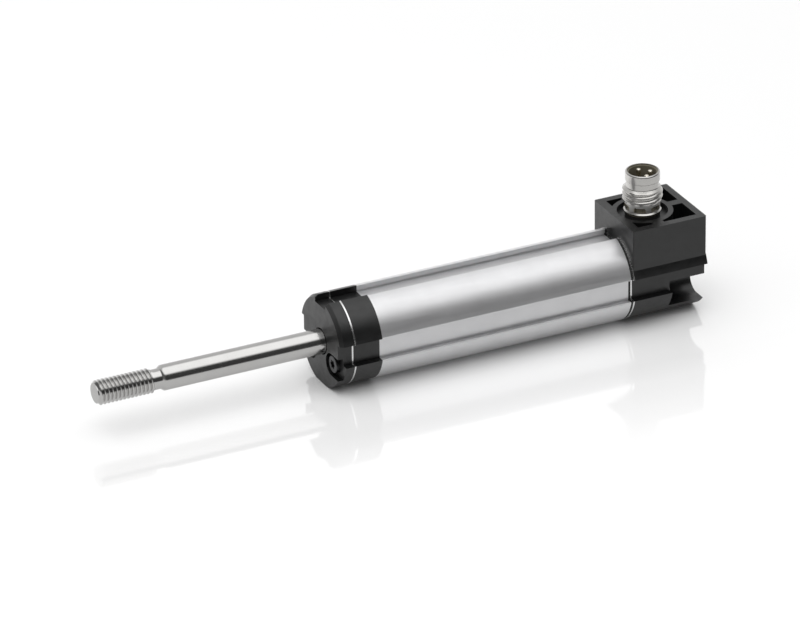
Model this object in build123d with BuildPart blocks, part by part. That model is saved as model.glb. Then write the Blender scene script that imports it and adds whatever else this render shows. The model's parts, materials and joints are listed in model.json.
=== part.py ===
from build123d import *

import os
from math import cos, radians, sin, sqrt

# A linear potentiometer of the rod type, in millimetres. A round aluminium profile holds a
# board with two printed tracks. A rod pushes a carriage with a spring wiper along them. Black
# plastic flanges close both ends, and the rear one carries an upright M8 plug.
#
# The origin is the centre of the profile on the rod's axis. +X points along the rod towards
# its threaded tip, +Z up through the plug. The rod is drawn fully out, at its front stop.

# Aluminium profile
profile_r = 9.0
profile_length = 53.0
groove_width = 4.5
groove_depth = 1.6
undercut = 0.3
undercut_height = 0.45
lip_round = 0.18
profile_wall = 1.2
cavity_floor_z = -0.9
channel_r = 3.4

# Screws that hold both ends, in two ports of the profile
screw_y = 4.4
screw_z = -3.05
screw_r = 1.1
screw_length = 16.0
screw_hole_gap = 0.15
head_r = 1.72
head_height = 0.85
head_round = 0.15
lobe_circle_r = 0.62
lobe_r = 0.28
recess_depth = 0.5

# Thin steel plates and the gasket
plate_thickness = 0.3
plate_proud = 0.03
plate_rod_gap = 0.6
gasket_thickness = 0.45
gasket_inset = 0.15

# Front ring, its spigot in the profile, and the cap
ring_length = 5.5
spigot_gap = 0.1
ring_spigot = 2.5
cap_length = 2.92
cap_chamfer_x = 0.75
cap_chamfer_r = 0.45
cap_pocket_r = 2.3
cap_pocket_depth = 1.15
cap_bore_r = 2.65
seal_chamber_r = 3.5
cap_face_thickness = 1.5

# Rod
rod_r = 2.45
rod_out = 32.9
shoulder_chamfer = 0.65
neck_r = 1.98
neck_length = 1.5
thread_r = 2.43
thread_length = 11.6
tip_chamfer = 0.5
running_gap = 0.05
guide_gap = 0.3
bush_wall = 0.85
bush_end_lip = 0.5
seal_lip_hollow = 0.5

# Stroke and end stops
stroke = 28.0
stop_gap = 0.3
bumper_thickness = 1.5
bumper_r = 3.2

# Carriage, its journal on the rod, and what holds it there
carriage_length = 14.0
carriage_gap = 0.25
carriage_roof = 0.4
journal_r = 1.5
rod_recess_depth = 3.0
rod_recess_gap = 0.2
ring_recess_depth = 2.0
ring_recess_r = 2.6
washer_thickness = 0.4
washer_r = 2.4
clip_thickness = 0.6
clip_r = 2.3
clip_groove_r = 1.15
clip_opening = 1.9
journal_end = 0.7

# Board and tracks
wiper_room = 0.85
board_thickness = 0.8
board_slot_depth = 0.6
board_side_gap = 0.05
board_end_gap = 0.25
track_thickness = 0.1
track_width = 2.0
track_gap = 1.6
track_front_margin = 3.0
pad_length = 2.0

# Wiper spring
spring_thickness = 0.15
spring_base_length = 4.0
spring_base_inset = 1.2
finger_count = 4
finger_width = 0.32
finger_arm = 4.2
finger_tip = 0.7
tip_clearance = 0.1
peg_r = 0.4
peg_gap = 0.05
peg_height = 0.35
peg_spacing = 3.2

# Rear flange and its cube
flange_length = 15.8
cube_inset = 0.9
cube_top_z = 12.2
cube_round = 0.3
cube_side_wall = 1.5
cube_front_wall = 1.8
cube_rear_wall = 1.45
cube_pocket_depth = 6.0
rib_thickness = 1.8
web_thickness = 2.4
boss_r = 5.95
boss_bore_r = 4.95
boss_recess = 1.0
rear_pocket_r = 2.7
rear_pocket_depth = 7.6
rear_spigot_top_z = 0.8
duct_half_width = 3.2
duct_low_z = 1.6
duct_headroom = 1.0
well_r = 2.75

# Plug
plug_setback = 6.2
plug_rim_z = 20.6
collar_r = 3.375
collar_height = 1.85
plug_neck_r = 3.2
plug_neck_height = 0.6
plug_thread_r = 3.9
plug_thread_height = 3.75
plug_thread_chamfer = 0.6
plug_foot_r = 3.65
plug_foot_height = 2.0
foot_bead_height = 0.2
foot_bead = 0.25
shell_bore_r = 3.0
rim_round = 0.12
window_count = 6
window_turn = 52.5
window_width = 2.0
window_height = 1.05
window_low = 0.5
key_width = 0.6
key_height = 0.35
key_length = 2.0
key_slot_gap = 0.1
insert_wall = 0.3
insert_rim_drop = 0.3
insert_face_drop = 4.4
insert_collar_r = 3.4
insert_depth = 3.2
latch_gap = 0.15
latch_height = 0.35
pin_r = 0.5
pin_circle_r = 1.65
pin_angles = (270, 180, 90)
pin_round = 0.3
pin_tip_drop = 0.35
pin_tail = 0.9
plug_seal_height = 0.9
plug_seal_gap = 0.05

# Leads from the board to the pins
lead_r = 0.3
lead_bend = 1.1

# Places along X that follow from the sizes above
profile_front_x = profile_length / 2
profile_rear_x = -profile_length / 2
ring_front_x = profile_front_x + ring_length
cap_rear_x = ring_front_x + plate_thickness
cap_front_x = cap_rear_x + cap_length
rear_plate_x = profile_rear_x - gasket_thickness
flange_front_x = rear_plate_x - plate_thickness
flange_rear_x = flange_front_x - flange_length
plug_x = flange_front_x - plug_setback
spigot_rear_x = profile_front_x - ring_spigot
front_stop_x = spigot_rear_x - bumper_thickness
carriage_front_x = front_stop_x - stop_gap
carriage_rear_x = carriage_front_x - carriage_length
rear_stop_x = carriage_rear_x - stroke - stop_gap
rear_spigot_x = rear_stop_x - bumper_thickness
board_front_x = spigot_rear_x - board_end_gap
board_rear_x = profile_rear_x + board_end_gap
shoulder_x = cap_front_x + rod_out
neck_x = shoulder_x + shoulder_chamfer
thread_x = neck_x + neck_length
tip_x = thread_x + thread_length
recess_floor_x = carriage_front_x - rod_recess_depth
shank_end_x = recess_floor_x + washer_thickness + running_gap
clip_front_x = carriage_rear_x + ring_recess_depth - running_gap
clip_rear_x = clip_front_x - clip_thickness
journal_end_x = clip_rear_x - journal_end
spring_base_x = carriage_front_x - spring_base_inset - spring_base_length

# Radii, and places along Z
groove_floor_r = profile_r - groove_depth
cube_half_width = profile_r - cube_inset
cavity_r = groove_floor_r - profile_wall
bore_r = rod_r + running_gap
carriage_top_z = rod_r + rod_recess_gap + carriage_roof
board_z = carriage_top_z + wiper_room
board_half_width = sqrt(cavity_r**2 - board_z**2) + board_slot_depth
track_z = board_z - track_thickness
duct_high_z = board_z + duct_headroom
boss_floor_z = cube_top_z - boss_recess
collar_foot_z = plug_rim_z - collar_height
thread_top_z = collar_foot_z - plug_neck_height
thread_foot_z = thread_top_z - plug_thread_height
shell_foot_z = thread_foot_z - plug_foot_height
insert_foot_z = boss_floor_z - insert_depth
collar_seat_z = boss_floor_z + plug_seal_height
lead_end_z = insert_foot_z - pin_tail

groove_cut = profile_r - groove_floor_r + 1.0
screw_hole_r = screw_r + screw_hole_gap
screw_places = [(screw_y, screw_z), (-screw_y, screw_z)]
peg_x = spring_base_x + spring_base_length / 2
peg_places = [(peg_x, peg_spacing / 2), (peg_x, -peg_spacing / 2)]
pin_places = [
    (plug_x + pin_circle_r * cos(radians(angle)), pin_circle_r * sin(radians(angle)))
    for angle in pin_angles
]


def grooved_round(grow=0.0):
    """The section that all outer pieces share: a circle with four mounting grooves."""
    with BuildSketch() as section:
        Circle(profile_r + grow)
        with PolarLocations(groove_floor_r + grow + groove_cut / 2, 4):
            Rectangle(groove_cut, groove_width - 2 * grow, mode=Mode.SUBTRACT)
    return section.sketch


def cavity_section(inset=0.0, top_z=profile_r):
    """The profile's bore: a D above the screw ports with a round channel for the rod."""
    low_z = cavity_floor_z + inset
    with BuildSketch() as section:
        Circle(cavity_r - inset)
        with Locations((0, (low_z + top_z) / 2)):
            Rectangle(2 * cavity_r, top_z - low_z, mode=Mode.INTERSECT)
        Circle(channel_r - inset)
        with Locations((0, top_z - profile_r)):
            Rectangle(2 * cavity_r, 2 * profile_r, mode=Mode.INTERSECT)
    return section.sketch


outline = grooved_round()
lip_z = sqrt(profile_r**2 - (groove_width / 2) ** 2)
plate_outline = grooved_round(plate_proud)
gasket_outline = grooved_round(-gasket_inset)
cavity = cavity_section()
front_spigot_section = cavity_section(spigot_gap)
rear_spigot_section = cavity_section(spigot_gap, rear_spigot_top_z)
carriage_section = cavity_section(carriage_gap, carriage_top_z)
parts = []

# Profile: extruded section, open grooves with a small undercut, board slots and screw ports
with BuildPart() as housing_profile:
    with BuildSketch(Plane.YZ.offset(profile_rear_x)):
        add(outline)
        lips = [v for v in vertices() if abs(Vector(v).length - profile_r) < 1e-3]
        fillet(lips, lip_round)
        with PolarLocations(groove_floor_r + undercut_height / 2, 4):
            Rectangle(undercut_height, groove_width + 2 * undercut, mode=Mode.SUBTRACT)
        add(cavity, mode=Mode.SUBTRACT)
        with Locations((0, board_z + board_thickness / 2)):
            Rectangle(2 * board_half_width, board_thickness, mode=Mode.SUBTRACT)
        with Locations(*screw_places):
            Circle(screw_r, mode=Mode.SUBTRACT)
    extrude(amount=profile_length)
housing_profile.part.label = "housing_profile"
parts.append(housing_profile.part)

# Front ring: bearing flange with a spigot in the profile
with BuildPart() as front_ring:
    with BuildSketch(Plane.YZ.offset(profile_front_x)):
        add(outline)
    extrude(amount=ring_length)
    with BuildSketch(Plane.YZ.offset(spigot_rear_x)):
        add(front_spigot_section)
    extrude(amount=ring_spigot)
    with BuildSketch(Plane.YZ.offset(spigot_rear_x)):
        Circle(rod_r + guide_gap)
    extrude(amount=ring_spigot + ring_length, mode=Mode.SUBTRACT)
    with BuildSketch(Plane.YZ.offset(profile_front_x + bush_end_lip)):
        Circle(bore_r + bush_wall)
    extrude(amount=ring_length, mode=Mode.SUBTRACT)
    with BuildSketch(Plane.YZ.offset(profile_front_x)):
        with Locations(*screw_places):
            Circle(screw_hole_r)
    extrude(amount=ring_length, mode=Mode.SUBTRACT)
front_ring.part.label = "front_ring"
parts.append(front_ring.part)

with BuildPart() as front_bush:
    with BuildSketch(Plane.YZ.offset(profile_front_x + bush_end_lip)):
        Circle(bore_r + bush_wall)
        Circle(bore_r, mode=Mode.SUBTRACT)
    extrude(amount=ring_length - bush_end_lip)
front_bush.part.label = "front_bush"
parts.append(front_bush.part)

with BuildPart() as front_plate:
    with BuildSketch(Plane.YZ.offset(ring_front_x)):
        add(plate_outline)
        Circle(rod_r + plate_rod_gap, mode=Mode.SUBTRACT)
        with Locations(*screw_places):
            Circle(screw_hole_r, mode=Mode.SUBTRACT)
    extrude(amount=plate_thickness)
front_plate.part.label = "front_plate"
parts.append(front_plate.part)

# Cap: flat where the lowest groove would be, chamfered along its upper arcs, with two
# round-ended pockets that run out through its sides
with BuildPart() as front_cap:
    with BuildSketch(Plane.YZ.offset(cap_rear_x)):
        add(outline)
        with Locations((0, -lip_z / 2)):
            Rectangle(groove_width, lip_z)
    extrude(amount=cap_length)
    front_face = faces().sort_by(Axis.X)[-1]
    arcs = front_face.outer_wire().edges().filter_by(GeomType.CIRCLE)
    chamfer(arcs.filter_by(lambda arc: arc.center().Z > 0), length=cap_chamfer_r,
            length2=cap_chamfer_x, reference=front_face)
    with BuildSketch(Plane.YZ.offset(cap_front_x)):
        for side in (1, -1):
            with Locations((side * screw_y, screw_z)):
                Circle(cap_pocket_r)
            with Locations((side * (screw_y + profile_r / 2), screw_z)):
                Rectangle(profile_r, 2 * cap_pocket_r)
    extrude(amount=-cap_pocket_depth, mode=Mode.SUBTRACT)
    with BuildSketch(Plane.YZ.offset(cap_rear_x)):
        Circle(seal_chamber_r)
    extrude(amount=cap_length - cap_face_thickness, mode=Mode.SUBTRACT)
    with BuildSketch(Plane.YZ.offset(cap_rear_x)):
        Circle(cap_bore_r)
        with Locations(*screw_places):
            Circle(screw_hole_r)
    extrude(amount=cap_length, mode=Mode.SUBTRACT)
front_cap.part.label = "front_cap"
parts.append(front_cap.part)

# Wiper ring of the rod, with a hollow between its two lips
with BuildPart() as rod_seal:
    seal_length = cap_length - cap_face_thickness
    with BuildSketch(Plane.YZ.offset(cap_rear_x)):
        Circle(seal_chamber_r)
        Circle(bore_r, mode=Mode.SUBTRACT)
    extrude(amount=seal_length)
    with BuildSketch(Plane.YZ.offset(cap_rear_x + seal_length / 3)):
        Circle(bore_r + seal_lip_hollow)
    extrude(amount=seal_length / 3, mode=Mode.SUBTRACT)
rod_seal.part.label = "rod_seal"
parts.append(rod_seal.part)

with BuildPart() as rear_gasket:
    with BuildSketch(Plane.YZ.offset(rear_plate_x)):
        add(gasket_outline)
        add(cavity, mode=Mode.SUBTRACT)
        with Locations(*screw_places):
            Circle(screw_hole_r, mode=Mode.SUBTRACT)
    extrude(amount=gasket_thickness)
rear_gasket.part.label = "rear_gasket"
parts.append(rear_gasket.part)

with BuildPart() as rear_plate:
    with BuildSketch(Plane.YZ.offset(flange_front_x)):
        add(plate_outline)
        add(cavity, mode=Mode.SUBTRACT)
        with Locations(*screw_places):
            Circle(screw_hole_r, mode=Mode.SUBTRACT)
    extrude(amount=plate_thickness)
rear_plate.part.label = "rear_plate"
parts.append(rear_plate.part)

# Rear flange: grooved round, cube with moulded pockets on top, spigot and duct for the leads
with BuildPart() as rear_flange:
    cube_foot_z = groove_width / 2 + 1.0
    with BuildSketch(Plane.YZ.offset(flange_rear_x)):
        add(outline)
        with Locations((0, (cube_top_z + cube_foot_z) / 2)):
            Rectangle(2 * cube_half_width, cube_top_z - cube_foot_z)
    extrude(amount=flange_length)
    fillet(edges().filter_by(Axis.Z).group_by(SortBy.LENGTH)[-1], cube_round)
    with BuildSketch(Plane.YZ.offset(rear_spigot_x)):
        add(rear_spigot_section)
    extrude(amount=flange_front_x - rear_spigot_x)
    with BuildSketch(Plane.XY.offset(cube_top_z)):
        inner_front_x = flange_front_x - cube_front_wall
        inner_rear_x = flange_rear_x + cube_rear_wall
        inner_width = 2 * (cube_half_width - cube_side_wall)
        with Locations(((inner_front_x + inner_rear_x) / 2, 0)):
            Rectangle(inner_front_x - inner_rear_x, inner_width)
        with Locations((plug_x, 0)):
            Circle(boss_r, mode=Mode.SUBTRACT)
            Rectangle(web_thickness, inner_width, mode=Mode.SUBTRACT)
        with Locations(((plug_x + inner_rear_x) / 2, 0)):
            Rectangle(plug_x - inner_rear_x, rib_thickness, mode=Mode.SUBTRACT)
    extrude(amount=-cube_pocket_depth, mode=Mode.SUBTRACT)
    with BuildSketch(Plane.XY.offset(boss_floor_z)):
        with Locations((plug_x, 0)):
            Circle(boss_bore_r)
    extrude(amount=boss_recess, mode=Mode.SUBTRACT)
    with BuildSketch(Plane.XY.offset(insert_foot_z)):
        with Locations((plug_x, 0)):
            Circle(shell_bore_r)
    extrude(amount=insert_depth, mode=Mode.SUBTRACT)
    with BuildSketch(Plane.XY.offset(duct_low_z)):
        with Locations((plug_x, 0)):
            Circle(well_r)
    extrude(amount=insert_foot_z - duct_low_z, mode=Mode.SUBTRACT)
    with BuildSketch(Plane.XY.offset(duct_low_z)):
        duct_rear_x = plug_x - well_r
        with Locations(((duct_rear_x + flange_front_x) / 2, 0)):
            Rectangle(flange_front_x - duct_rear_x, 2 * duct_half_width)
    extrude(amount=duct_high_z - duct_low_z, mode=Mode.SUBTRACT)
    with BuildSketch(Plane.YZ.offset(flange_rear_x)):
        for side in (1, -1):
            with Locations((side * screw_y, screw_z)):
                Circle(rear_pocket_r)
            with Locations((side * (screw_y + profile_r / 2), screw_z)):
                Rectangle(profile_r, 2 * rear_pocket_r)
    extrude(amount=rear_pocket_depth, mode=Mode.SUBTRACT)
    with BuildSketch(Plane.YZ.offset(flange_rear_x)):
        with Locations(*screw_places):
            Circle(screw_hole_r)
    extrude(amount=flange_length, mode=Mode.SUBTRACT)
rear_flange.part.label = "rear_flange"
parts.append(rear_flange.part)


def screw(head_x, toward):
    """A screw along X with a six-lobe recess: head_x is under its head, on screw_places[0]."""
    head_end_x = head_x - toward * head_height
    with BuildPart() as body:
        with BuildSketch(Plane.YZ.offset(head_x)):
            Circle(head_r)
        extrude(amount=-toward * head_height)
        rim = edges().filter_by(GeomType.CIRCLE).sort_by(Axis.X)[0 if toward > 0 else -1]
        fillet(rim, head_round)
        with BuildSketch(Plane.YZ.offset(head_x)):
            Circle(screw_r)
        extrude(amount=toward * screw_length)
        with BuildSketch(Plane.YZ.offset(head_end_x)):
            Circle(lobe_circle_r)
            with PolarLocations(lobe_circle_r, 6):
                Circle(lobe_r)
        extrude(amount=toward * recess_depth, mode=Mode.SUBTRACT)
    return body.part


front_head_x = cap_front_x - cap_pocket_depth
rear_head_x = flange_rear_x + rear_pocket_depth
front_screw = screw(front_head_x, -1)
rear_screw = screw(rear_head_x, 1)
for name, shape, (y, z) in (
    ("front_screw_near", front_screw, screw_places[0]),
    ("front_screw_far", front_screw, screw_places[1]),
    ("rear_screw_near", rear_screw, screw_places[0]),
    ("rear_screw_far", rear_screw, screw_places[1]),
):
    placed = shape.moved(Location((0, y, z)))
    placed.label = name
    parts.append(placed)

# Rod: turned, with a threaded tip, an undercut neck and a journal that carries the carriage
with BuildPart() as push_rod:
    with BuildSketch(Plane.XZ):
        with BuildLine():
            Polyline(
                (journal_end_x, 0),
                (journal_end_x, journal_r),
                (clip_rear_x, journal_r),
                (clip_rear_x, clip_groove_r),
                (clip_front_x, clip_groove_r),
                (clip_front_x, journal_r),
                (shank_end_x, journal_r),
                (shank_end_x, rod_r),
                (shoulder_x, rod_r),
                (neck_x, neck_r),
                (thread_x - (thread_r - neck_r), neck_r),
                (thread_x, thread_r),
                (tip_x - tip_chamfer, thread_r),
                (tip_x, thread_r - tip_chamfer),
                (tip_x, 0),
                close=True,
            )
        make_face()
    revolve(axis=Axis.X)
push_rod.part.label = "push_rod"
parts.append(push_rod.part)

# Carriage: guided by the profile's bore, with a recess for the rod and one for its clip
with BuildPart() as wiper_carriage:
    with BuildSketch(Plane.YZ.offset(carriage_rear_x)):
        add(carriage_section)
    extrude(amount=carriage_length)
    with BuildSketch(Plane.YZ.offset(carriage_rear_x)):
        Circle(journal_r + running_gap)
    extrude(amount=carriage_length, mode=Mode.SUBTRACT)
    with BuildSketch(Plane.YZ.offset(recess_floor_x)):
        Circle(rod_r + rod_recess_gap)
    extrude(amount=rod_recess_depth, mode=Mode.SUBTRACT)
    with BuildSketch(Plane.YZ.offset(carriage_rear_x)):
        Circle(ring_recess_r)
    extrude(amount=ring_recess_depth, mode=Mode.SUBTRACT)
    with BuildSketch(Plane.XY.offset(carriage_top_z)):
        with Locations(*peg_places):
            Circle(peg_r)
    extrude(amount=peg_height)
wiper_carriage.part.label = "wiper_carriage"
parts.append(wiper_carriage.part)

with BuildPart() as wave_washer:
    with BuildSketch(Plane.YZ.offset(recess_floor_x)):
        Circle(washer_r)
        Circle(journal_r + rod_recess_gap, mode=Mode.SUBTRACT)
    extrude(amount=washer_thickness)
wave_washer.part.label = "wave_washer"
parts.append(wave_washer.part)

# Retaining ring, open on one side so that it snaps into the journal's groove
with BuildPart() as retaining_ring:
    with BuildSketch(Plane.YZ.offset(clip_rear_x)):
        Circle(clip_r)
        Circle(clip_groove_r, mode=Mode.SUBTRACT)
        with Locations((0, -clip_r)):
            Rectangle(clip_opening, 2 * clip_r, mode=Mode.SUBTRACT)
    extrude(amount=clip_thickness)
retaining_ring.part.label = "retaining_ring"
parts.append(retaining_ring.part)

with BuildPart() as front_bumper:
    with BuildSketch(Plane.YZ.offset(front_stop_x)):
        Circle(bumper_r)
        Circle(rod_r + guide_gap, mode=Mode.SUBTRACT)
    extrude(amount=bumper_thickness)
front_bumper.part.label = "front_bumper"
parts.append(front_bumper.part)

with BuildPart() as rear_bumper:
    with BuildSketch(Plane.YZ.offset(rear_spigot_x)):
        Circle(bumper_r)
        Circle(journal_r, mode=Mode.SUBTRACT)
        with Locations((0, rear_spigot_top_z - profile_r)):
            Rectangle(2 * profile_r, 2 * profile_r, mode=Mode.INTERSECT)
    extrude(amount=bumper_thickness)
rear_bumper.part.label = "rear_bumper"
parts.append(rear_bumper.part)

# Board in the profile's slots, with its printed tracks on the underside
with BuildPart() as track_board:
    with BuildSketch(Plane.XY.offset(board_z)):
        with Locations(((board_front_x + board_rear_x) / 2, 0)):
            Rectangle(board_front_x - board_rear_x, 2 * (board_half_width - board_side_gap))
    extrude(amount=board_thickness)
track_board.part.label = "track_board"
parts.append(track_board.part)

track_front_x = board_front_x - track_front_margin
track_rear_x = board_rear_x + pad_length
track_y = (track_gap + track_width) / 2
for name, side in (("resistive_track", -1), ("collector_track", 1)):
    with BuildPart() as track:
        with BuildSketch(Plane.XY.offset(track_z)):
            with Locations(((track_front_x + track_rear_x) / 2, side * track_y)):
                Rectangle(track_front_x - track_rear_x, track_width)
        extrude(amount=track_thickness)
    track.part.label = name
    parts.append(track.part)

# Wiper spring: a base staked to the carriage and a comb of fingers under each track
with BuildPart() as wiper_spring:
    base_top_z = carriage_top_z + spring_thickness
    tip_z = track_z - tip_clearance
    tip_x_low = spring_base_x - finger_arm
    tail_z = (tip_z + base_top_z) / 2
    with BuildSketch(Plane.XY.offset(carriage_top_z)):
        with Locations((spring_base_x + spring_base_length / 2, 0)):
            Rectangle(spring_base_length, track_gap + 2 * track_width)
        with Locations(*peg_places):
            Circle(peg_r + peg_gap, mode=Mode.SUBTRACT)
    extrude(amount=spring_thickness)
    for side in (-1, 1):
        for finger in range(finger_count):
            offset_y = (finger - (finger_count - 1) / 2) * track_width / finger_count
            with BuildSketch(Plane.XZ.offset(-(side * track_y + offset_y))):
                with BuildLine():
                    Polyline(
                        (spring_base_x, carriage_top_z),
                        (spring_base_x + spring_thickness, carriage_top_z),
                        (spring_base_x + spring_thickness, base_top_z),
                        (tip_x_low, tip_z),
                        (tip_x_low - finger_tip, tail_z),
                        (tip_x_low - finger_tip, tail_z - spring_thickness),
                        (tip_x_low, tip_z - spring_thickness),
                        close=True,
                    )
                make_face()
            extrude(amount=finger_width / 2, both=True)
wiper_spring.part.label = "wiper_spring"
parts.append(wiper_spring.part)

# Plug shell: collar, neck, thread cylinder and a beaded foot with a ring of windows
with BuildPart() as plug_shell:
    with BuildSketch(Plane.XZ):
        with BuildLine():
            Polyline(
                (plug_x + shell_bore_r, shell_foot_z),
                (plug_x + plug_foot_r, shell_foot_z),
                (plug_x + plug_foot_r, shell_foot_z + foot_bead_height),
                (plug_x + plug_foot_r - foot_bead, shell_foot_z + foot_bead_height + foot_bead),
                (plug_x + plug_foot_r - foot_bead, thread_foot_z),
                (plug_x + plug_thread_r, thread_foot_z),
                (plug_x + plug_thread_r, thread_top_z - plug_thread_chamfer),
                (plug_x + plug_thread_r - plug_thread_chamfer, thread_top_z),
                (plug_x + plug_neck_r, thread_top_z),
                (plug_x + plug_neck_r, collar_foot_z),
                (plug_x + collar_r, collar_foot_z),
                (plug_x + collar_r, plug_rim_z),
                (plug_x + shell_bore_r, plug_rim_z),
                close=True,
            )
        make_face()
    revolve(axis=Axis((plug_x, 0, 0), (0, 0, 1)))
    window_middle_z = shell_foot_z + window_low + window_height / 2
    with BuildSketch(Plane(origin=(plug_x, 0, window_middle_z), x_dir=(0, 1, 0), z_dir=(0, 0, 1))):
        with PolarLocations(plug_foot_r, window_count, start_angle=window_turn):
            Rectangle(2 * (plug_foot_r - shell_bore_r) + 1.0, window_width)
        Circle(shell_bore_r - insert_wall, mode=Mode.SUBTRACT)
    extrude(amount=window_height / 2, both=True, mode=Mode.SUBTRACT)
    with BuildSketch(Plane.XY.offset(plug_rim_z - key_length)):
        with Locations((plug_x + shell_bore_r, 0)):
            Rectangle(2 * key_height, key_width)
        with Locations((plug_x, 0)):
            Circle((collar_r + shell_bore_r) / 2, mode=Mode.INTERSECT)
    extrude(amount=key_length - rim_round)
plug_shell.part.label = "plug_shell"
parts.append(plug_shell.part)

# Insert: a cup inside the shell, latches in the windows, a collar and a stem in the flange
with BuildPart() as plug_insert:
    insert_face_z = plug_rim_z - insert_face_drop
    with BuildSketch(Plane.XZ):
        with BuildLine():
            Polyline(
                (plug_x, insert_foot_z),
                (plug_x + shell_bore_r, insert_foot_z),
                (plug_x + shell_bore_r, collar_seat_z),
                (plug_x + insert_collar_r, collar_seat_z),
                (plug_x + insert_collar_r, shell_foot_z),
                (plug_x + shell_bore_r, shell_foot_z),
                (plug_x + shell_bore_r, plug_rim_z - insert_rim_drop),
                (plug_x + shell_bore_r - insert_wall, plug_rim_z - insert_rim_drop),
                (plug_x + shell_bore_r - insert_wall, insert_face_z),
                (plug_x, insert_face_z),
                close=True,
            )
        make_face()
    revolve(axis=Axis((plug_x, 0, 0), (0, 0, 1)))
    with BuildSketch(Plane(origin=(plug_x, 0, window_middle_z), x_dir=(0, 1, 0), z_dir=(0, 0, 1))):
        with PolarLocations(shell_bore_r, window_count, start_angle=window_turn):
            Rectangle(2 * latch_height, window_width - 2 * latch_gap)
    extrude(amount=window_height / 2 - latch_gap, both=True)
    with BuildSketch(Plane.XY.offset(plug_rim_z - key_length - key_slot_gap)):
        with Locations((plug_x + shell_bore_r, 0)):
            Rectangle(2 * (key_height + key_slot_gap), key_width + 2 * key_slot_gap)
    extrude(amount=key_length, mode=Mode.SUBTRACT)
    with BuildSketch(Plane.XY.offset(insert_foot_z)):
        with Locations(*pin_places):
            Circle(pin_r)
    extrude(amount=insert_face_z - insert_foot_z, mode=Mode.SUBTRACT)
plug_insert.part.label = "plug_insert"
parts.append(plug_insert.part)

with BuildPart() as plug_seal:
    with BuildSketch(Plane.XY.offset(boss_floor_z)):
        with Locations((plug_x, 0)):
            Circle(insert_collar_r)
            Circle(shell_bore_r + plug_seal_gap, mode=Mode.SUBTRACT)
    extrude(amount=plug_seal_height)
plug_seal.part.label = "plug_seal"
parts.append(plug_seal.part)

# Three contact pins with rounded tips, from the leads up to just under the rim
for number, (x, y) in enumerate(pin_places, 1):
    with BuildPart() as pin:
        with BuildSketch(Plane.XY.offset(lead_end_z)):
            with Locations((x, y)):
                Circle(pin_r)
        extrude(amount=plug_rim_z - pin_tip_drop - lead_end_z)
        fillet(edges().sort_by(Axis.Z)[-1], pin_round)
    pin.part.label = f"contact_pin_{number}"
    parts.append(pin.part)

# Leads: from the board's underside along the duct, then up the well to the foot of each pin
lead_z = board_z - lead_r
lead_start_x = board_rear_x + pad_length / 2
for number, (x, y) in enumerate(pin_places, 1):
    points = [(lead_start_x, y, lead_z), (x, y, lead_z), (x, y, lead_end_z)]
    with BuildPart() as lead:
        with BuildLine() as path:
            FilletPolyline(*points, radius=lead_bend)
        with BuildSketch(Plane(origin=path.line @ 0, z_dir=path.line % 0)):
            Circle(lead_r)
        sweep(path=path.line)
    lead.part.label = f"lead_{number}"
    parts.append(lead.part)

os.makedirs("parts", exist_ok=True)
for part in parts:
    export_step(part, f"parts/{part.label}.step")
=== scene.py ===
import json
from math import ceil, cos, pi, radians, sin, tan

import bmesh
import bpy
from mathutils import Matrix, Vector


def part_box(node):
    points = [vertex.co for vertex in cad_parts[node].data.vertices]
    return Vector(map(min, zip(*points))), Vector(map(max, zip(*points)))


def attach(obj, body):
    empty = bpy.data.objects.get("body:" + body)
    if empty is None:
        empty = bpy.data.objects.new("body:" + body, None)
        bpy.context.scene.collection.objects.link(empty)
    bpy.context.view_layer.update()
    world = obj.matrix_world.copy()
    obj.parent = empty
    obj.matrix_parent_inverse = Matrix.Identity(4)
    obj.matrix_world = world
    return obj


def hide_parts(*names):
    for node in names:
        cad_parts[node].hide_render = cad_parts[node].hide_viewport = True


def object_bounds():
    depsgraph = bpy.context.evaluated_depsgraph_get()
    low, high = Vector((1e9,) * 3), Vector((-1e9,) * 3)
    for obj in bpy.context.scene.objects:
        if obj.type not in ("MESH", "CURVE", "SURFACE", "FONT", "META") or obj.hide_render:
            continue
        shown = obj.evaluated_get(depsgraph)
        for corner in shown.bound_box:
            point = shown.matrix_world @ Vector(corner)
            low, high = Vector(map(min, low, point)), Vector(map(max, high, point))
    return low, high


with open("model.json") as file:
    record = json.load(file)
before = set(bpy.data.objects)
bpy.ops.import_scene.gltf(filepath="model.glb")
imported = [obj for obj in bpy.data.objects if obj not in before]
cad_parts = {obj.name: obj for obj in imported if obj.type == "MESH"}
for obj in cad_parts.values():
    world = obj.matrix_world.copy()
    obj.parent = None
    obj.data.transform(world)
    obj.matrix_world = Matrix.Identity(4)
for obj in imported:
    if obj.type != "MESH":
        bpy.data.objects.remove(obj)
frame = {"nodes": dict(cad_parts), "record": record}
cad_box = [list(corner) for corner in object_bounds()]
scene = bpy.context.scene
scene.view_settings.view_transform = "Standard"
MM = 0.001

# Materials. Most values of a noise texture lie between NOISE_LOW and NOISE_HIGH

NOISE_LOW = 0.3
NOISE_HIGH = 0.7
ALONG_ROD = (0.03, 1, 1)
AROUND_ROD = (1, 0.05, 0.05)
AROUND_PLUG = (0.05, 0.05, 1)
EVEN = (1, 1, 1)


def shader(name, color, metallic, roughness):
    """A new material, its node tree and its Principled shader."""
    material = bpy.data.materials.new(name)
    material.use_nodes = True
    tree = material.node_tree
    surface = tree.nodes["Principled BSDF"]
    surface.inputs["Base Color"].default_value = (*color, 1)
    surface.inputs["Metallic"].default_value = metallic
    surface.inputs["Roughness"].default_value = roughness
    return material, tree, surface


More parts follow.
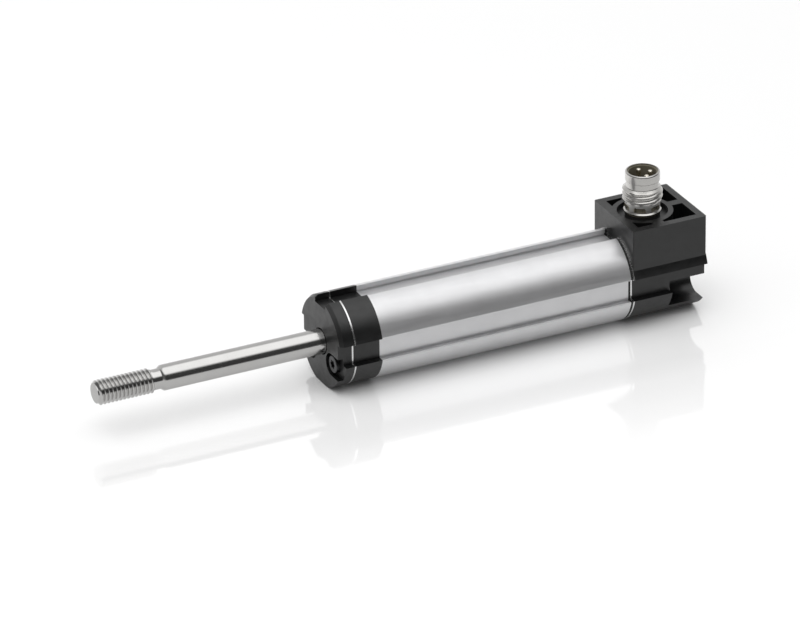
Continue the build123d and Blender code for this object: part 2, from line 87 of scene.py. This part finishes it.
def noise(tree, scale, stretch=EVEN, detail=3):
    """A noise texture in the object's own place, drawn out where stretch is below 1."""
    place = tree.nodes.new("ShaderNodeTexCoord")
    mapping = tree.nodes.new("ShaderNodeMapping")
    mapping.inputs["Scale"].default_value = stretch
    texture = tree.nodes.new("ShaderNodeTexNoise")
    texture.inputs["Scale"].default_value = scale
    texture.inputs["Detail"].default_value = detail
    tree.links.new(place.outputs["Object"], mapping.inputs["Vector"])
    tree.links.new(mapping.outputs["Vector"], texture.inputs["Vector"])
    return texture.outputs["Fac"]


def spread_over(tree, value, start, end, low, high):
    """Takes a value that runs from start to end over to one that runs from low to high."""
    node = tree.nodes.new("ShaderNodeMapRange")
    node.inputs["From Min"].default_value = start
    node.inputs["From Max"].default_value = end
    node.inputs["To Min"].default_value = low
    node.inputs["To Max"].default_value = high
    tree.links.new(value, node.inputs["Value"])
    return node.outputs["Result"]


def vary_roughness(tree, value, surface, roughness, spread):
    """Lets the roughness wander about its mean with a texture."""
    varied = spread_over(tree, value, NOISE_LOW, NOISE_HIGH, roughness - spread, roughness + spread)
    tree.links.new(varied, surface.inputs["Roughness"])


def tint(tree, value, surface, dark, light):
    """Lets the base colour wander between two tones with a texture."""
    ramp = tree.nodes.new("ShaderNodeValToRGB")
    ramp.color_ramp.elements[0].position = NOISE_LOW
    ramp.color_ramp.elements[0].color = (*dark, 1)
    ramp.color_ramp.elements[1].position = NOISE_HIGH
    ramp.color_ramp.elements[1].color = (*light, 1)
    tree.links.new(value, ramp.inputs["Fac"])
    tree.links.new(ramp.outputs["Color"], surface.inputs["Base Color"])


def bump(tree, value, surface, depth, strength):
    """Raises the surface by a texture, depth in metres."""
    node = tree.nodes.new("ShaderNodeBump")
    node.inputs["Strength"].default_value = strength
    node.inputs["Distance"].default_value = depth
    tree.links.new(value, node.inputs["Height"])
    tree.links.new(node.outputs["Normal"], surface.inputs["Normal"])


def metal(name, color, roughness, spread, stretch, grain, metallic=1.0):
    """A metal with streaks along or round its working direction."""
    patch_grain = 260
    patch_shade = 0.95
    streak_depth = 0.004 * MM
    material, tree, surface = shader(name, color, metallic, roughness)
    streaks = noise(tree, grain, stretch, detail=4)
    vary_roughness(tree, streaks, surface, roughness, spread)
    darker = [c * patch_shade for c in color]
    tint(tree, noise(tree, patch_grain, detail=2), surface, darker, color)
    bump(tree, streaks, surface, streak_depth, strength=0.3)
    return material


def plastic(name, color, roughness, grain_depth, shine=0.5):
    """A moulded plastic or rubber with a fine grain, its depth in millimetres, and slight changes
    of tone."""
    grain = 6500
    gloss_grain = 700
    gloss_spread = 0.06
    tone_grain = 420
    tone_lift = 1.12
    material, tree, surface = shader(name, color, 0.0, roughness)
    surface.inputs["Specular IOR Level"].default_value = shine
    grains = noise(tree, grain)
    vary_roughness(tree, noise(tree, gloss_grain), surface, roughness, gloss_spread)
    lighter = [c * tone_lift for c in color]
    tint(tree, noise(tree, tone_grain, detail=4), surface, color, lighter)
    bump(tree, grains, surface, grain_depth * MM, strength=0.5)
    return material


materials = {
    "anodised_aluminium": metal("anodised_aluminium", (0.83, 0.83, 0.84), 0.4, 0.04, ALONG_ROD, 3500, 0.86),
    "black_plastic": plastic("black_plastic", (0.006, 0.0063, 0.0063), 0.36, 0.03, shine=0.72),
    "plate_steel": metal("plate_steel", (0.9, 0.9, 0.9), 0.25, 0.05, EVEN, 3000),
    "rod_steel": metal("rod_steel", (0.61, 0.605, 0.595), 0.16, 0.04, AROUND_ROD, 7000),
    "screw_steel": metal("screw_steel", (0.1, 0.1, 0.103), 0.33, 0.06, EVEN, 4000),
    "nickel": metal("nickel", (0.6, 0.59, 0.57), 0.2, 0.05, AROUND_PLUG, 6000),
    # Rougher than nickel, with a lighter base that paints light onto the shaded foot wall
    "matt_nickel": metal("matt_nickel", (0.7, 0.69, 0.67), 0.55, 0.05, AROUND_PLUG, 6000),
    "insert_plastic": plastic("insert_plastic", (0.17, 0.155, 0.115), 0.4, 0.02),
    "gold": metal("gold", (0.95, 0.9, 0.78), 0.16, 0.04, EVEN, 3000),
    "bearing_bronze": metal("bearing_bronze", (0.55, 0.4, 0.24), 0.4, 0.08, EVEN, 5000),
    "seal_rubber": plastic("seal_rubber", (0.02, 0.02, 0.02), 0.55, 0.01),
    "bumper_rubber": plastic("bumper_rubber", (0.18, 0.05, 0.04), 0.6, 0.02),
    "board_laminate": plastic("board_laminate", (0.1, 0.22, 0.1), 0.4, 0.02),
    "track_ink": plastic("track_ink", (0.02, 0.02, 0.022), 0.35, 0.01),
    "carriage_plastic": plastic("carriage_plastic", (0.75, 0.73, 0.66), 0.35, 0.02),
    "spring_alloy": metal("spring_alloy", (0.8, 0.72, 0.55), 0.25, 0.05, EVEN, 4000),
    "spring_steel": metal("spring_steel", (0.5, 0.5, 0.52), 0.3, 0.05, EVEN, 4000),
    "lead_brown": plastic("lead_brown", (0.2, 0.09, 0.04), 0.4, 0.01),
    "lead_blue": plastic("lead_blue", (0.05, 0.12, 0.4), 0.4, 0.01),
    "lead_black": plastic("lead_black", (0.03, 0.03, 0.03), 0.4, 0.01),
}
slot_of = {row["node"]: row["material_slot"] for row in frame["record"]["subparts"]}
for name, node in frame["nodes"].items():
    for place in node.material_slots:
        place.material = materials[slot_of[name]]

# Slightly rounded edges on the moulded ends

moulded_edge = 0.12
moulded_corner = radians(40)
for name in ("front_ring", "front_cap", "rear_flange"):
    rounding = frame["nodes"][name].modifiers.new("edges", "BEVEL")
    rounding.width = moulded_edge * MM
    rounding.segments = 2
    rounding.limit_method = "ANGLE"
    rounding.angle_limit = moulded_corner

# Helpers for meshes. Corners flatter than smooth_corner are shaded smooth, and points nearer than
# weld_reach become one

smooth_corner = radians(35)
weld_reach = 0.0005
fillet_steps = 5
round_steps = 6
thread_half_angle = radians(30)


def new_piece(name, vertices, faces, slot, body):
    """A mesh in metres that rides on a CAD body and takes its finish from a slot."""
    mesh = bpy.data.meshes.new(name)
    mesh.from_pydata(vertices, [], faces)
    welded = bmesh.new()
    welded.from_mesh(mesh)
    bmesh.ops.remove_doubles(welded, verts=welded.verts, dist=weld_reach * MM)
    bmesh.ops.dissolve_degenerate(welded, edges=welded.edges, dist=weld_reach * MM)
    welded.to_mesh(mesh)
    welded.free()
    mesh.materials.append(materials[slot])
    piece = bpy.data.objects.new(name, mesh)
    scene.collection.objects.link(piece)
    mesh.shade_smooth()
    mesh.set_sharp_from_angle(angle=smooth_corner)
    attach(piece, body)
    return piece


def plain_row(place, radius, segments):
    """A ring: the same place along the axis and the same radius at every angle."""
    return [(place, radius)] * segments


def thread_profile(pitch, depth, crest, root, edge):
    """One turn's section as (share of the pitch, depth below the crest), with eased crest edges."""
    ease = edge * tan(thread_half_angle)
    half = crest / 2 + edge
    return [
        (root / 2 / pitch, depth),
        (0.5 - half / pitch, ease),
        (0.5 - crest / 2 / pitch, 0.0),
        (0.5 + crest / 2 / pitch, 0.0),
        (0.5 + half / pitch, ease),
        (1.0 - root / 2 / pitch, depth),
    ]


def thread_rows(start, end, crest_r, pitch, turn, profile, envelope, segments):
    """Rows of (place, radius) that follow a right-hand helix. Beyond both ends they lie on the end
    rings, and the envelope runs the thread out there."""
    rows = []
    for lap in range(-2, ceil((end - start) / pitch) + 2):
        for share, depth in profile:
            row = []
            for k in range(segments):
                place = start + pitch * (lap + share + turn + k / segments)
                if start < place < end:
                    row.append((place, min(crest_r - depth, envelope(place))))
                else:
                    place = min(max(place, start), end)
                    row.append((place, envelope(place)))
            rows.append(row)
    return rows


def skin(vertices, faces, rows, point, step=0):
    """Joins rows of (place, radius) by faces. In a helix each row goes on in the row step further."""
    first = len(vertices)
    segments = len(rows[0])
    for row in rows:
        for k, (place, radius) in enumerate(row):
            vertices.append(point(place, radius, 2 * pi * k / segments))
    for number in range(len(rows) - 1):
        for k in range(segments):
            if k < segments - 1:
                following = number * segments + k + 1
            elif number + step < len(rows) - 1:
                following = (number + step) * segments
            else:
                continue
            a = first + number * segments + k
            b = first + following
            faces.append((a, b, b + segments, a + segments))


# Rod with its rolled M5 thread. Here and for the plug, lengths are in millimetres

rod_low, rod_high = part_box("push_rod")
tip_x = rod_high.x / MM
rod_end_x = rod_low.x / MM
rod_r = rod_high.z / MM
thread_r = 2.43
thread_length = 11.6
tip_chamfer = 0.5
rod_pitch = 0.8
rod_thread_turn = 0.21
rod_profile = thread_profile(rod_pitch, depth=0.5, crest=0.05, root=0.1, edge=0.05)
neck_r = 1.98
neck_length = 1.5
shoulder_length = 0.65
neck_round = 0.25
neck_slope = radians(45)
rod_run_out = 1.2
journal_r = 1.5
journal_end = 0.7
journal_length = 9.5
clip_thickness = 0.6
clip_groove_r = 1.15
thread_x = tip_x - thread_length
neck_x = thread_x - neck_length
shoulder_x = neck_x - shoulder_length
clip_rear_x = rod_end_x + journal_end
clip_front_x = clip_rear_x + clip_thickness
shank_x = clip_front_x + journal_length
rod_segments = 96


def rod_point(x, r, angle):
    return (x * MM, r * cos(angle) * MM, r * sin(angle) * MM)


def rod_envelope(x):
    """Runs the rod's thread out into the neck and into the chamfer of the tip."""
    return min(thread_r, neck_r + (x - thread_x) * rod_run_out, thread_r - tip_chamfer + (tip_x - x))


def build_rod():
    plain = [
        (rod_end_x, journal_r),
        (clip_rear_x, journal_r),
        (clip_rear_x, clip_groove_r),
        (clip_front_x, clip_groove_r),
        (clip_front_x, journal_r),
        (shank_x, journal_r),
        (shank_x, rod_r),
        (shoulder_x, rod_r),
    ]
    tangent = neck_round * tan(neck_slope / 2)
    for step in range(fillet_steps + 1):
        turn = neck_slope * (1 - step / fillet_steps)
        rise = neck_round * (1 - cos(turn))
        plain.append((neck_x + tangent - neck_round * sin(turn), neck_r + rise))
    plain.append((thread_x, neck_r))
    vertices = []
    faces = []
    skin(vertices, faces, [plain_row(x, r, rod_segments) for x, r in plain], rod_point)
    faces.append(tuple(reversed(range(rod_segments))))
    turns = thread_rows(
        thread_x, tip_x, thread_r, rod_pitch, rod_thread_turn, rod_profile, rod_envelope, rod_segments
    )
    skin(vertices, faces, turns, rod_point, step=len(rod_profile))
    last = len(vertices) - rod_segments
    faces.append(tuple(last + k for k in range(rod_segments)))
    return new_piece("threaded_rod", vertices, faces, "rod_steel", "push_rod")


rod = build_rod()
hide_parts("push_rod")

# Plug shell with its M8 thread, windows round the foot and a key inside the mouth

shell_low, shell_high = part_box("plug_shell")
plug_x = (shell_low.x + shell_high.x) / 2 / MM
foot_z = shell_low.z / MM
rim_z = shell_high.z / MM
foot_r = 3.65
foot_height = 2.0
foot_edge = 0.06
foot_run_out = 1.5
bead_height = 0.2
bead = 0.25
wall_r = foot_r - bead
plug_thread_r = (shell_high.x - shell_low.x) / 2 / MM
plug_pitch = 1.0
plug_thread_turn = 0.12
plug_profile = thread_profile(plug_pitch, depth=0.5, crest=0.12, root=0.17, edge=0.06)
plug_neck_height = 1.3
neck_fillet = 0.25
flank_angle = radians(60)
collar_height = 1.85
collar_r = 3.375
collar_foot_z = rim_z - collar_height
thread_top_z = collar_foot_z - plug_neck_height
thread_foot_z = foot_z + foot_height
plug_neck_r = 3.2
thread_top_r = plug_neck_r + neck_fillet * (1 - cos(flank_angle))
rim_round = 0.3
collar_round = 0.15
bore_r = 3.0
shell_segments = 144
window_count = 6
window_low = 0.5
window_height = 1.05
window_low_z = foot_z + window_low
window_high_z = window_low_z + window_height
window_half_steps = 7
window_turn_steps = 21
steps_per_window = shell_segments // window_count
key_half_angle = 5.7
key_foot = 1.3
key_flank = 0.45
key_height = 0.35
key_length = 2.0


def shell_point(z, r, angle):
    return ((plug_x + r * cos(angle)) * MM, r * sin(angle) * MM, z * MM)


def shell_envelope(z):
    """Runs the plug's thread out into the foot and into the neck."""
    run_out = thread_top_r + (thread_top_z - z) * tan(flank_angle)
    return min(plug_thread_r, wall_r + (z - thread_foot_z) * foot_run_out, run_out)


def quarter_round(z, r, radius, first_turn):
    """Points on a quarter circle round (z, r), from the turn given in quarters upwards."""
    points = []
    for step in range(round_steps + 1):
        turn = pi / 2 * (first_turn + step / round_steps)
        points.append((z + radius * sin(turn), r + radius * cos(turn)))
    return points


def key_row(z):
    """A row of the bore with the key that stands in it at angle 0. Foot and flank are shares of the
    key's half angle."""
    row = []
    for k in range(shell_segments):
        away = abs((360 * k / shell_segments + 180) % 360 - 180) / key_half_angle
        height = key_height * min(max((key_foot - away) / key_flank, 0.0), 1.0)
        row.append((z, bore_r - height))
    return row


def in_window(row, k, low):
    """Whether the cell above this row of the foot and after this angle lies in a window."""
    if not window_low_z < (low[row][0] + low[row + 1][0]) / 2 < window_high_z:
        return False
    middle = steps_per_window / 2
    return abs((k - window_turn_steps + middle) % steps_per_window + 0.5 - middle) < window_half_steps


def build_foot(vertices, faces):
    """The shell's foot, inside and outside, with its beaded edge and its windows."""
    low = [
        (foot_z, foot_r - foot_edge),
        (foot_z + foot_edge, foot_r),
        (foot_z + bead_height, foot_r),
        (foot_z + bead_height + bead, wall_r),
        (window_low_z, wall_r),
        (window_high_z, wall_r),
        (thread_foot_z, wall_r),
    ]
    for radii in ([r for z, r in low], [bore_r] * len(low)):
        for (z, r), radius in zip(low, radii):
            for k in range(shell_segments):
                vertices.append(shell_point(z, radius, 2 * pi * k / shell_segments))
    inner_start = len(low) * shell_segments
    for row in range(len(low) - 1):
        for k in range(shell_segments):
            if in_window(row, k, low):
                continue
            following = (k + 1) % shell_segments
            a = row * shell_segments + k
            b = row * shell_segments + following
            c = b + shell_segments
            d = a + shell_segments
            e, f, g, h = (inner_start + n for n in (a, b, c, d))
            faces.append((a, b, c, d))
            faces.append((e, h, g, f))
            if row == 0 or in_window(row - 1, k, low):
                faces.append((a, e, f, b))
            if row + 2 < len(low) and in_window(row + 1, k, low):
                faces.append((d, c, g, h))
            if in_window(row, (k - 1) % shell_segments, low):
                faces.append((a, d, h, e))
            if in_window(row, following, low):
                faces.append((b, f, g, c))


def build_shell():
    vertices = []
    faces = []
    build_foot(vertices, faces)
    turns = thread_rows(
        thread_foot_z, thread_top_z, plug_thread_r, plug_pitch, plug_thread_turn, plug_profile,
        shell_envelope, shell_segments
    )
    skin(vertices, faces, turns, shell_point, step=len(plug_profile))
    above = []
    for step in range(fillet_steps + 1):
        turn = flank_angle * (1 - step / fillet_steps)
        rise = neck_fillet * (sin(flank_angle) - sin(turn))
        above.append((thread_top_z + rise, plug_neck_r + neck_fillet * (1 - cos(turn))))
    above.append((collar_foot_z, plug_neck_r))
    above += quarter_round(collar_foot_z + collar_round, collar_r - collar_round, collar_round, -1)
    above += quarter_round(rim_z - rim_round, collar_r - rim_round, rim_round, 0)
    above += [(rim_z, bore_r), (rim_z - rim_round, bore_r)]
    rows = [plain_row(z, r, shell_segments) for z, r in above]
    rows += [key_row(rim_z - rim_round), key_row(rim_z - key_length)]
    rows += [plain_row(z, bore_r, shell_segments) for z in (rim_z - key_length, thread_foot_z)]
    skin(vertices, faces, rows, shell_point)
    return new_piece("threaded_plug_shell", vertices, faces, "nickel", "housing")


shell = build_shell()
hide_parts("plug_shell")

# The foot's wall between bead and thread is matt, and its base is lighter than the nickel's as painted
# light on this shaded wall

shell.data.materials.append(materials["matt_nickel"])
for face in shell.data.polygons:
    if foot_z + bead_height + bead / 2 < face.center.z / MM < thread_foot_z:
        face.material_index = 1

# Camera at the photograph's angle

camera_azimuth = 154.156
camera_elevation = 26.488
camera_roll = -0.78
camera_distance = 1244.69
aim = Vector((18.528, 0, 2.68))
focal_pixels = 6567.7
image_width = 800

azimuth = radians(camera_azimuth)
elevation = radians(camera_elevation)
roll = radians(camera_roll)
back = Vector((sin(azimuth) * cos(elevation), -cos(azimuth) * cos(elevation), sin(elevation)))
right = Vector((0, 0, 1)).cross(back).normalized()
up = back.cross(right)
right, up = right * cos(roll) + up * sin(roll), up * cos(roll) - right * sin(roll)
camera_data = bpy.data.cameras.new("camera")
camera_data.sensor_width = 36
camera_data.lens = focal_pixels / image_width * camera_data.sensor_width
camera_data.clip_start = 0.05
camera_data.clip_end = 20
camera = bpy.data.objects.new("camera", camera_data)
turn = Matrix((right, up, back)).transposed().to_4x4()
camera.matrix_world = Matrix.Translation((aim + back * camera_distance) * MM) @ turn
scene.collection.objects.link(camera)
scene.camera = camera

# Glossy pale table top under the lowest edge of the object. Its lengths are in metres

floor_z = cad_box[0][2]
floor_size = 6.0
floor_mesh = bpy.data.meshes.new("floor")
half = floor_size / 2
floor_mesh.from_pydata(
    [(-half, -half, floor_z), (half, -half, floor_z), (half, half, floor_z), (-half, half, floor_z)],
    [],
    [(0, 1, 2, 3)],
)
floor = bpy.data.objects.new("floor", floor_mesh)
scene.collection.objects.link(floor)

floor_white = (0.97, 0.97, 0.97)
floor_glow = 0.17
floor_blur = 0.06
floor_gloss = 0.25
floor_gloss_fade = (0.022, 0.06)
painted_contact_shade_reach = 0.005

# What the object's reflections and the light that bounces see of the floor, with painted shade: paler
# behind the object than before it, and dark far before it. It also has a painted glow

floor_seen_far = 0.75
floor_seen_near = 0.38
floor_seen_middle = (-0.045, -0.02)
# A painted glow, seen only by reflections and bounced light
floor_seen_painted_glow = 0.36
floor_seen_beyond = 0.1
floor_seen_end = (0.12, 0.18)


def product(tree, first, second):
    """The product of two shader values. The first may be a plain number."""
    node = tree.nodes.new("ShaderNodeMath")
    node.operation = "MULTIPLY"
    if isinstance(first, float):
        node.inputs[0].default_value = first
    else:
        tree.links.new(first, node.inputs[0])
    tree.links.new(second, node.inputs[1])
    return node.outputs["Value"]


def with_glow(tree, surface, strength):
    """Adds a white glow to a surface."""
    glow = tree.nodes.new("ShaderNodeEmission")
    tree.links.new(strength, glow.inputs["Strength"])
    both = tree.nodes.new("ShaderNodeAddShader")
    tree.links.new(surface, both.inputs[0])
    tree.links.new(glow.outputs["Emission"], both.inputs[1])
    return both.outputs["Shader"]


def mix_shaders(tree, factor, first, second):
    """The first shader where the factor is 0, and the second where it is 1."""
    node = tree.nodes.new("ShaderNodeMixShader")
    tree.links.new(factor, node.inputs["Fac"])
    tree.links.new(first, node.inputs[1])
    tree.links.new(second, node.inputs[2])
    return node.outputs["Shader"]


floor_material = bpy.data.materials.new("floor")
floor_material.use_nodes = True
tree = floor_material.node_tree
tree.nodes.clear()
output = tree.nodes.new("ShaderNodeOutputMaterial")
path = tree.nodes.new("ShaderNodeLightPath")
place = tree.nodes.new("ShaderNodeTexCoord")
split = tree.nodes.new("ShaderNodeSeparateXYZ")
tree.links.new(place.outputs["Object"], split.inputs["Vector"])
forward = split.outputs["Y"]
# Painted contact shade: ambient occlusion darkens the floor's glows where the object stands close over it
contact = tree.nodes.new("ShaderNodeAmbientOcclusion")
contact.inputs["Distance"].default_value = painted_contact_shade_reach
outside_painted_contact_shade = contact.outputs["AO"]

# As the camera sees it: white, with a sheen that fades out towards the front, and a glow that the painted
# contact shade darkens next to the object
matt = tree.nodes.new("ShaderNodeBsdfDiffuse")
matt.inputs["Color"].default_value = (*floor_white, 1)
sheen = tree.nodes.new("ShaderNodeBsdfGlossy")
sheen.inputs["Color"].default_value = (1, 1, 1, 1)
sheen.inputs["Roughness"].default_value = floor_blur
sheen_share = spread_over(tree, forward, *floor_gloss_fade, floor_gloss, 0)
shown = mix_shaders(tree, sheen_share, matt.outputs["BSDF"], sheen.outputs["BSDF"])
shown = with_glow(tree, shown, product(tree, floor_glow, outside_painted_contact_shade))

# As the rest sees it: with the painted shade and a painted glow that the camera never sees
# Painted shade: the floor that reflections see darkens before the object and far before it
painted_far_shade = spread_over(tree, forward, *floor_seen_end, 1, floor_seen_beyond)
painted_paleness = spread_over(tree, forward, *floor_seen_middle, floor_seen_far, floor_seen_near)
matt_seen = tree.nodes.new("ShaderNodeBsdfDiffuse")
tree.links.new(product(tree, painted_paleness, painted_far_shade), matt_seen.inputs["Color"])
painted_glow_strength = product(tree, product(tree, floor_seen_painted_glow, painted_far_shade), outside_painted_contact_shade)
seen = with_glow(tree, matt_seen.outputs["BSDF"], painted_glow_strength)

chosen = mix_shaders(tree, path.outputs["Is Camera Ray"], seen, shown)
tree.links.new(chosen, output.inputs["Surface"])
floor_mesh.materials.append(floor_material)

# Studio: bright overhead, darker round the horizon on the camera's side, white to the camera. Each
# ramp lists heights, from 0 at the horizon to 1 overhead, with their greys

room_strength = 1.4
toward_back = [(0.0, 0.6), (0.45, 0.5), (0.86, 0.46), (0.92, 1.0)]
toward_camera = [(0.0, 0.03), (0.62, 0.04), (0.8, 1.0), (1.0, 1.0)]
toward_tip = [(0.0, 0.4), (0.06, 0.3), (0.12, 0.1), (0.85, 0.1), (0.95, 1.0)]
back_to_camera = (-0.3, 0.2)
side_to_tip = (0.4, 0.6)

world = bpy.data.worlds.new("studio")
world.use_nodes = True
scene.world = world
tree = world.node_tree
tree.nodes.clear()
output = tree.nodes.new("ShaderNodeOutputWorld")
path = tree.nodes.new("ShaderNodeLightPath")
direction = tree.nodes.new("ShaderNodeTexCoord")
split = tree.nodes.new("ShaderNodeSeparateXYZ")
tree.links.new(direction.outputs["Generated"], split.inputs["Vector"])


def grey_ramp(stops):
    """The greys of a ramp over the height of the direction."""
    node = tree.nodes.new("ShaderNodeValToRGB")
    points = node.color_ramp.elements
    while len(points) < len(stops):
        points.new(1.0)
    for point, (height, grey) in zip(points, stops):
        point.position = height
        point.color = (grey, grey, grey, 1)
    tree.links.new(split.outputs["Z"], node.inputs["Fac"])
    return node.outputs["Color"]


def mix_greys(direction_share, span, first, second):
    """Goes from the first greys to the second while a share of the direction crosses the span."""
    node = tree.nodes.new("ShaderNodeMix")
    node.data_type = "RGBA"
    factor = spread_over(tree, direction_share, *span, 0, 1)
    tree.links.new(factor, node.inputs["Factor"])
    tree.links.new(first, node.inputs["A"])
    tree.links.new(second, node.inputs["B"])
    return node.outputs["Result"]


across = mix_greys(split.outputs["Y"], back_to_camera, grey_ramp(toward_back), grey_ramp(toward_camera))
whole = mix_greys(split.outputs["X"], side_to_tip, across, grey_ramp(toward_tip))
room = tree.nodes.new("ShaderNodeBackground")
room.inputs["Strength"].default_value = room_strength
tree.links.new(whole, room.inputs["Color"])
white = tree.nodes.new("ShaderNodeBackground")
white.inputs["Color"].default_value = (1, 1, 1, 1)
chosen = mix_shaders(
    tree, path.outputs["Is Camera Ray"], room.outputs["Background"], white.outputs["Background"]
)
tree.links.new(chosen, output.inputs["Surface"])


def soft_box(name, place, target, size, watts):
    """An area lamp aimed at a point, all in metres. Metal shows the studio, not the lamp."""
    lamp = bpy.data.lights.new(name, "AREA")
    lamp.shape = "RECTANGLE"
    lamp.size, lamp.size_y = size
    lamp.energy = watts
    box = bpy.data.objects.new(name, lamp)
    box.location = place
    box.rotation_euler = (Vector(target) - Vector(place)).to_track_quat("-Z", "Y").to_euler()
    box.visible_glossy = False
    scene.collection.objects.link(box)


soft_box("key", (0.45, 0.15, 0.75), (0.0, 0.0, 0.0), (1.2, 0.8), 3.0)
